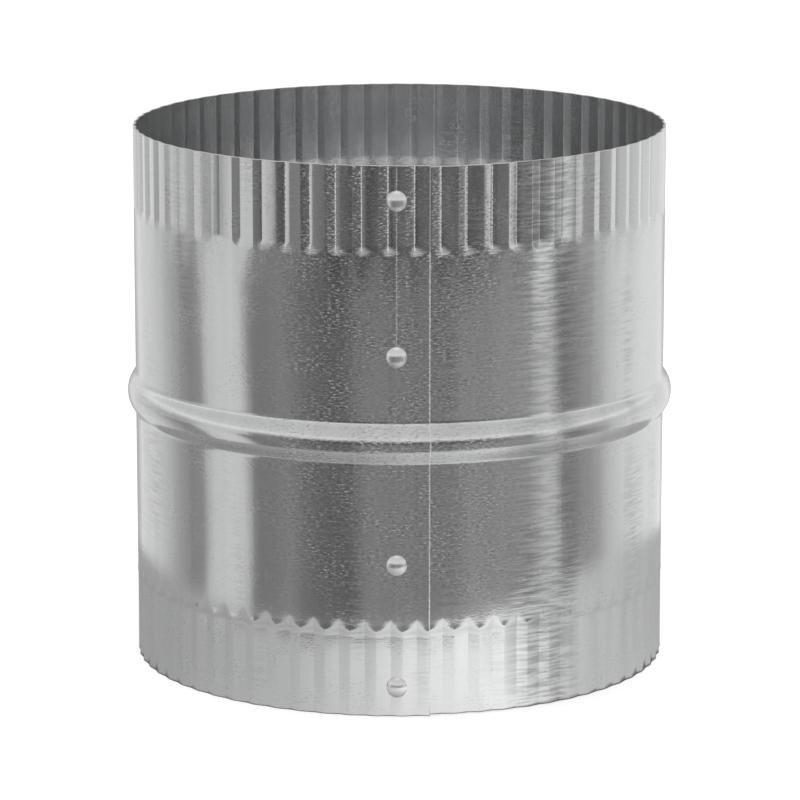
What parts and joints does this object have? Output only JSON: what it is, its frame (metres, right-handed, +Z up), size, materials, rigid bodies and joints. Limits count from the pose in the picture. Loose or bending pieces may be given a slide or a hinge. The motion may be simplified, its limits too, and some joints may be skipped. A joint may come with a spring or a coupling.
{
  "type": "duct coupling",
  "caption": "Round sheet-steel duct coupling: a rolled sleeve with crimped, fluted ends, a raised stop bead round the middle and a riveted lap seam, for joining round ducts end to end.",
  "frame": {"origin": "on the tube's axis, at the plane of the lower rim that the coupling stands on", "axes": "+Z up along the tube's axis, -Y towards the riveted lap seam at the front, +X to the right of the seam"},
  "size_m": [0.1551, 0.1554, 0.1524],
  "materials": {
    "sheet": "bright zinc-coated rolled sheet",
    "rivet": "bright zinc-plated"
  },
  "bodies": {
    "root": {"sleeve": "sheet", "seam_rivets": "rivet"}
  },
  "joints": []
}
